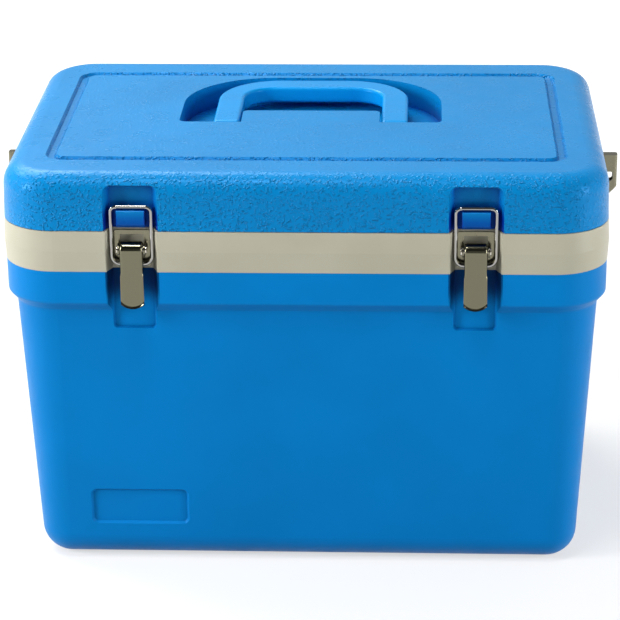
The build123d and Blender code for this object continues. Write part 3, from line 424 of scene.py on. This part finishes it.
# ---- Latch levers ----
SHEET = 1.2 * MM
FOLD = 1.6 * MM  # outside radius where the cheeks fold back
LIP_RADIUS = 3.2 * MM
LIP_TURN = radians(40)
TIP_ROUND = 10.4 * MM  # radius of the tip's outline
TIP_FLARE = 0.3 * MM  # the tip is wider than the top by this on each side
DEBURRED = 0.25 * MM
SHARP = radians(50)  # edges that turn by more than this are deburred
MERGE = 0.02 * MM  # points nearer than this become one
ROLL_START, ROLL_END = radians(-40), pi
# Depth of the cheeks behind the face against the drop below the pivot.
CHEEK_DROPS = np.array([0.0, 1.0, 12.3, 15.5, 18.7]) * MM
CHEEK_DEPTHS = np.array([6.0, 9.2, 9.2, 6.0, 0.3]) * MM
FLARE_START = CHEEK_DROPS[3]
# Steps of the grid: round the roll, down the face and round the lip; across the face, a fold and a cheek.
ROLL_STEPS, FACE_STEPS, LIP_STEPS = 48, 40, 8
WIDTH_STEPS, FOLD_STEPS, CHEEK_STEPS = 16, 6, 6


def pressed_lever(name, pivot, roll, half_tip, length):
    """Outer skin of a toggle lever, then given its sheet thickness.

    Down the lever the path turns round the pivot on a circle of radius roll, runs straight down the face and
    curls forward on LIP_RADIUS; across it the skin is flat, folds back on FOLD and runs on as a cheek.  The
    straight run of each column ends on a circle of TIP_ROUND, so the tip is an arc seen from the front.
    """
    # Rows down the lever: the roll, the straight face, the lip.
    half_top = half_tip - TIP_FLARE
    straight_end = length - (LIP_RADIUS + SHEET) * sin(LIP_TURN)
    turns = np.linspace(ROLL_START, ROLL_END, ROLL_STEPS + 1)[:-1]
    runs = np.linspace(0, 1, FACE_STEPS + 1)
    curls = np.linspace(0, LIP_TURN, LIP_STEPS + 1)[1:]
    rows = len(turns) + len(runs) + len(curls)
    along = np.concatenate([np.zeros(len(turns)), runs, np.ones(len(curls))])
    drop = along * straight_end
    deep = np.interp(drop, CHEEK_DROPS, CHEEK_DEPTHS)
    half = half_top + TIP_FLARE * np.clip((drop - FLARE_START) / (length - FLARE_START), 0, 1)
    bend = np.arccos(np.clip(1 - deep / FOLD, 0, 1))
    flat = half - FOLD * np.sin(bend)
    cheek = np.clip(deep - FOLD, 0, None)

    # Columns across the lever: cheek, fold, flat, fold, cheek.
    level = np.linspace(-1, 1, WIDTH_STEPS + 1)
    folding = np.linspace(0, 1, FOLD_STEPS + 1)[1:]
    reach = np.linspace(0, 1, CHEEK_STEPS + 1)[1:]
    fold_x = flat[:, None] + FOLD * np.sin(bend[:, None] * folding)
    fold_in = FOLD * (1 - np.cos(bend[:, None] * folding))
    side_x = np.concatenate([fold_x, np.repeat(half[:, None], len(reach), axis=1)], axis=1)
    side_in = np.concatenate([fold_in, np.minimum(deep, FOLD)[:, None] + cheek[:, None] * reach], axis=1)
    x = np.concatenate([-side_x[:, ::-1], flat[:, None] * level, side_x], axis=1)
    inward = np.concatenate([side_in[:, ::-1], np.zeros((rows, len(level))), side_in], axis=1)

    shorten = TIP_ROUND - np.sqrt(TIP_ROUND**2 - np.minimum(np.abs(x), half_tip) ** 2)
    run = along[:, None] * (straight_end - shorten)
    turn = np.concatenate([turns, np.full(rows - len(turns), pi)])[:, None]
    curl = np.concatenate([np.zeros(rows - len(curls)), curls])[:, None]
    path_y = roll * np.cos(turn) - LIP_RADIUS * (1 - np.cos(curl))
    path_z = roll * np.sin(turn) - run - LIP_RADIUS * np.sin(curl)
    in_y = -np.cos(turn) * np.cos(curl)
    in_z = -np.sin(turn) - np.sin(curl)
    points = np.stack([x, path_y + inward * in_y, path_z + inward * in_z], axis=-1) + np.array(pivot)

    columns = points.shape[1]
    corner = (np.arange(rows - 1)[:, None] * columns + np.arange(columns - 1)).ravel()
    faces = np.stack([corner, corner + columns, corner + columns + 1, corner + 1], axis=-1)
    mesh = bpy.data.meshes.new(name)
    mesh.from_pydata(points.reshape(-1, 3), [], faces)
    skin = bmesh.new()
    skin.from_mesh(mesh)
    bmesh.ops.remove_doubles(skin, verts=skin.verts, dist=MERGE)
    bmesh.ops.dissolve_degenerate(skin, edges=skin.edges, dist=MERGE)
    skin.to_mesh(mesh)
    skin.free()
    mesh.shade_smooth()
    mesh.materials.append(polished)
    piece = bpy.data.objects.new(name, mesh)
    bpy.context.collection.objects.link(piece)
    wall = piece.modifiers.new("sheet", "SOLIDIFY")
    wall.thickness = SHEET
    wall.offset = -1
    edge = piece.modifiers.new("deburred_edge", "BEVEL")
    edge.width = DEBURRED
    edge.segments = 2
    edge.limit_method = "ANGLE"
    edge.angle_limit = SHARP
    return piece


for side in ("left", "right"):
    low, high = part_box(f"latch_lever_{side}")
    pivot = [(a + b) / 2 for a, b in zip(*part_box(f"latch_pin_{side}"))]
    lever = pressed_lever(
        f"latch_lever_pressing_{side}",
        pivot,
        roll=high[2] - pivot[2],
        half_tip=(high[0] - low[0]) / 2,
        length=pivot[2] - low[2],
    )
    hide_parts(f"latch_lever_{side}")
    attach(lever, f"latch_{side}")

# ---- Floor and backdrop ----
FLOOR_REACH = 20.0
PAPER_GREY = 0.4
# The paper's own light, which only the eye, metal and glass see: less near by, so that the object's shadow
# shows, and white farther out, where the lamps no longer reach.
NEAR, NEAR_LIFT = 0.6, 0.6
FAR, FAR_LIFT = 1.8, 1.0

floor_material, tree = new_material("seamless_paper_white")
path = add(tree, "ShaderNodeLightPath")
seen = add(tree, "ShaderNodeMath", MAXIMUM, links={0: (path, "Is Camera Ray"), 1: (path, "Is Glossy Ray")})
seen = add(tree, "ShaderNodeMath", MAXIMUM, links={0: (seen, "Value"), 1: (path, "Is Transmission Ray")})
spot = add(tree, "ShaderNodeTexCoord")
distance = add(tree, "ShaderNodeVectorMath", {"operation": "LENGTH"}, links={0: (spot, "Object")})
brightening = add(
    tree,
    "ShaderNodeMapRange",
    values={"From Min": NEAR, "From Max": FAR, "To Min": NEAR_LIFT, "To Max": FAR_LIFT},
    links={"Value": (distance, "Value")},
)
lift = add(tree, "ShaderNodeMath", MULTIPLY, links={0: (seen, "Value"), 1: (brightening, "Result")})
paper = add(tree, "ShaderNodeBsdfDiffuse", values={"Color": (PAPER_GREY, PAPER_GREY, PAPER_GREY, 1.0)})
white = add(tree, "ShaderNodeEmission", links={"Strength": (lift, "Value")})
sheet = add(tree, "ShaderNodeAddShader", links={0: (paper, "BSDF"), 1: (white, "Emission")})
add(tree, "ShaderNodeOutputMaterial", links={"Surface": (sheet, "Shader")})

mesh = bpy.data.meshes.new("studio_floor")
square = [(-1, -1), (1, -1), (1, 1), (-1, 1)]
mesh.from_pydata([(x * FLOOR_REACH, y * FLOOR_REACH, 0) for x, y in square], [], [(0, 1, 2, 3)])
floor = bpy.data.objects.new("studio_floor", mesh)
bpy.context.collection.objects.link(floor)
mesh.materials.append(floor_material)

# ---- Room light ----
# The room is dark in front of the object and light behind it, over this part of the direction's y.
ROOM_FRONT, DARK = -0.25, 0.06
ROOM_BACK, LIGHT = 0.35, 0.46

world = bpy.data.worlds.new("studio_air")
bpy.context.scene.world = world
world.use_nodes = True
tree = world.node_tree
sky = tree.nodes["Background"]
sky.inputs["Color"].default_value = (1.0, 1.0, 1.0, 1.0)
heading = add(tree, "ShaderNodeTexCoord")
depth = add(tree, "ShaderNodeSeparateXYZ", links={"Vector": (heading, "Generated")})
room = add(
    tree,
    "ShaderNodeMapRange",
    values={"From Min": ROOM_FRONT, "From Max": ROOM_BACK, "To Min": DARK, "To Max": LIGHT},
    links={"Value": (depth, "Y")},
)
eye = add(tree, "ShaderNodeLightPath")
air = add(tree, "ShaderNodeMath", MAXIMUM, links={0: (eye, "Is Camera Ray"), 1: (room, "Result")})
tree.links.new(air.outputs["Value"], sky.inputs["Strength"])


# ---- Lamps ----
def softbox(name, place, target, size, power, tint=(1.0, 1.0, 1.0)):
    """Area lamp at a place, aimed at a target."""
    lamp = bpy.data.lights.new(name, "AREA")
    lamp.shape = "RECTANGLE"
    lamp.size, lamp.size_y = size
    lamp.energy = power
    lamp.color = tint
    holder = bpy.data.objects.new(name, lamp)
    holder.location = place
    holder.rotation_euler = (Vector(target) - Vector(place)).to_track_quat("-Z", "Y").to_euler()
    bpy.context.collection.objects.link(holder)


softbox("overhead_softbox", (-0.95, 1.0, 1.85), (-0.1, 0, 0.25), (1.8, 1.2), 48, tint=(1.0, 1.0, 0.92))
softbox("raking_light", (-0.2, -0.65, 2.0), (0, 0, 0.25), (0.4, 0.25), 10)
softbox("left_softbox", (-1.45, -0.7, 0.75), (0, -0.15, 0.15), (0.4, 0.8), 26)
softbox("right_softbox", (1.4, -0.7, 0.5), (0, -0.15, 0.15), (0.4, 0.8), 15)
softbox("front_fill", (0.3, -2.6, 0.9), (0, 0, 0.15), (1.4, 1.0), 1)

# ---- Camera ----
PITCH, YAW, ROLL = 0.383, -0.046, -0.010  # radians, down, to the left, and about the view
STAND = Vector((0.07785, -1.74134, 0.85055))
SENSOR = 36.0
PICTURE = 620  # pixels each way
FOCAL_LENGTH = 2449.0  # in pixels of that picture

forward = Vector((sin(YAW) * cos(PITCH), cos(YAW) * cos(PITCH), -sin(PITCH)))
level_right = Vector((cos(YAW), -sin(YAW), 0.0))
level_up = level_right.cross(forward)
right = cos(ROLL) * level_right + sin(ROLL) * level_up
up = -sin(ROLL) * level_right + cos(ROLL) * level_up
camera_data = bpy.data.cameras.new("studio_camera")
camera_data.sensor_width = SENSOR
camera_data.lens = FOCAL_LENGTH / PICTURE * SENSOR
camera = bpy.data.objects.new("studio_camera", camera_data)
facing = Matrix((right, up, -forward)).transposed()
camera.matrix_world = Matrix.Translation(STAND) @ facing.to_4x4()
bpy.context.collection.objects.link(camera)
bpy.context.scene.camera = camera
bpy.context.scene.view_settings.view_transform = "Standard"
